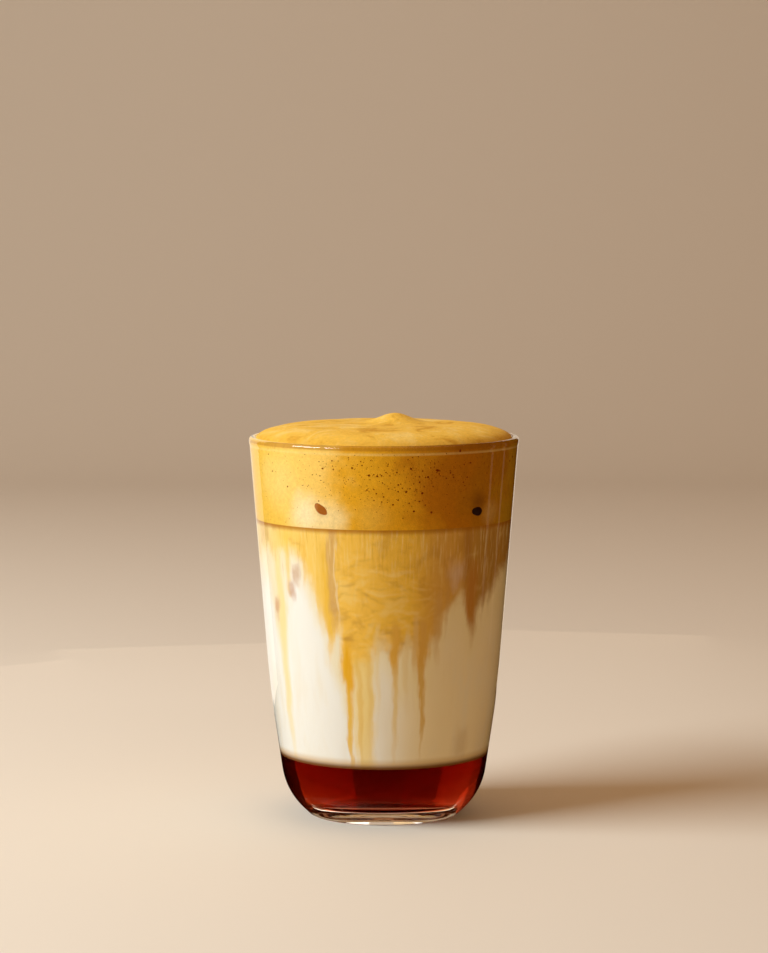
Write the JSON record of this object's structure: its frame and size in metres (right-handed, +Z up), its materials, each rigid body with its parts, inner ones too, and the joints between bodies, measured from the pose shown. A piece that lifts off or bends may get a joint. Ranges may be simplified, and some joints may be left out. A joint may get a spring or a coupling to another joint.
{
  "type": "iced latte in a glass",
  "caption": "Layered iced coffee drink in a clear tapered tumbler: dark syrup at the bottom, marbled milk, and a thick domed cap of coffee foam.",
  "frame": {"origin": "centre of the glass's foot, on the table", "axes": "+Z up along the glass's axis, -Y the front, +X the front's right"},
  "size_m": [0.085, 0.085, 0.1267],
  "materials": {
    "glass": "clear fire-polished soda glass",
    "syrup": "clear dark brown sugar syrup",
    "milk": "milk with coffee marbling behind glass",
    "foam": "fine matte coffee foam"
  },
  "bodies": {
    "root": {"glass": "glass", "syrup": "syrup", "milk": "milk", "foam": "foam"}
  },
  "joints": []
}
